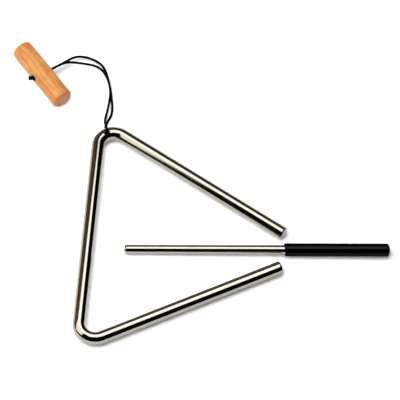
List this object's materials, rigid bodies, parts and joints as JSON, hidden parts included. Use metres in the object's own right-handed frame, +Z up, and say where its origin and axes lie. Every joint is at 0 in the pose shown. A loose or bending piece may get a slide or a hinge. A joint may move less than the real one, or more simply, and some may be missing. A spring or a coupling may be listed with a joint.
{
  "type": "triangle instrument",
  "caption": "Percussion triangle: a bent plated steel rod open at one corner, hung on a looped cord with a wooden holder, with a loose beater that has a black sleeve grip.",
  "frame": {"origin": "on the table under the middle of the outline of the rigid pieces, as they lie in the picture", "axes": "+Z up from the table; the closed side runs along Y, and the open corner points to +X"},
  "size_m": [0.2364, 0.2038, 0.0129],
  "materials": {
    "plated_steel": "polished nickel plating on steel",
    "grip_rubber": "smooth black sleeve",
    "beech": "sanded and clear-coated beech",
    "cord": "tightly braided black cord"
  },
  "bodies": {
    "triangle": {"triangle_rod": "plated_steel", "cord_eye": "cord"},
    "cord": {"cord_strand_inner": "cord", "cord_strand_outer": "cord", "cord_knot": "cord"},
    "holder": {"holder_dowel": "beech"},
    "beater": {"beater_rod": "plated_steel", "beater_grip": "grip_rubber"}
  },
  "joints": [
    {"name": "cord_swing", "type": "hinge", "parent": "triangle", "child": "cord", "pos_m": [-0.05873, 0.05095, 0.0032], "axis": [0, 0, 1], "range_deg": [-60, 60]},
    {"name": "holder_turn", "type": "hinge", "parent": "cord", "child": "holder", "pos_m": [-0.09963, 0.08145, 0.00645], "axis": [0.7631, 0.6403, -0.0872], "continuous": true},
    {"name": "beater_lift", "type": "slide", "parent": "triangle", "child": "beater", "axis": [0, 0, 1], "range_m": [0, 0.1]}
  ]
}
